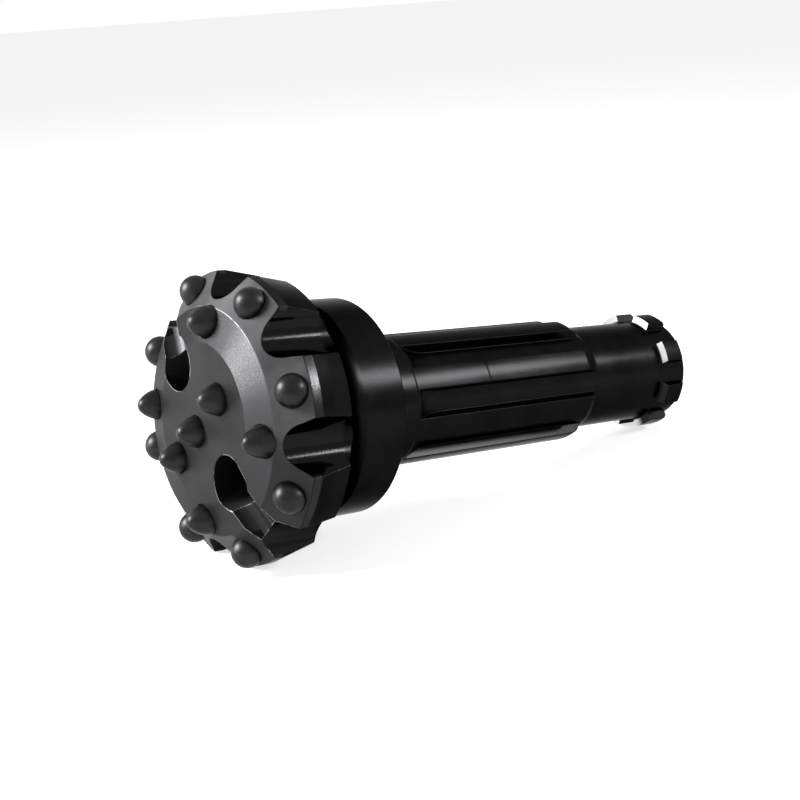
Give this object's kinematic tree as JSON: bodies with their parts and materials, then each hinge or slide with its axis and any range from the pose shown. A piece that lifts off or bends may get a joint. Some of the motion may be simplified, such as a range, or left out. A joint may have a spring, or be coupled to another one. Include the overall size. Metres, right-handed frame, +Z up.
{
  "type": "rock drill bit",
  "caption": "Down-the-hole hammer drill bit: a fluted head set with hard round and pointed buttons, a plain collar, a splined shank and a lugged tail, lying on its side.",
  "frame": {"origin": "on the ground under the middle of the bit as it lies", "axes": "+X from the face of the head to the tail, the bit's own axis falling 7.3 degrees towards the tail; +Z up; +Y across, away from the pictured side"},
  "size_m": [0.2506, 0.1076, 0.1071],
  "materials": {
    "black_steel": "satin black paint on machined steel",
    "hard_metal": "smooth glossy black over ground hard metal"
  },
  "bodies": {
    "root": {"bit_body": "black_steel", "gauge_button_1": "hard_metal", "gauge_button_2": "hard_metal", "gauge_button_3": "hard_metal", "gauge_button_4": "hard_metal", "gauge_button_5": "hard_metal", "gauge_button_6": "hard_metal", "gauge_button_7": "hard_metal", "gauge_button_8": "hard_metal", "face_button_1": "hard_metal", "face_button_2": "hard_metal", "face_button_3": "hard_metal", "face_button_4": "hard_metal", "centre_button_1": "hard_metal", "centre_button_2": "hard_metal", "centre_button_3": "hard_metal"}
  },
  "joints": []
}
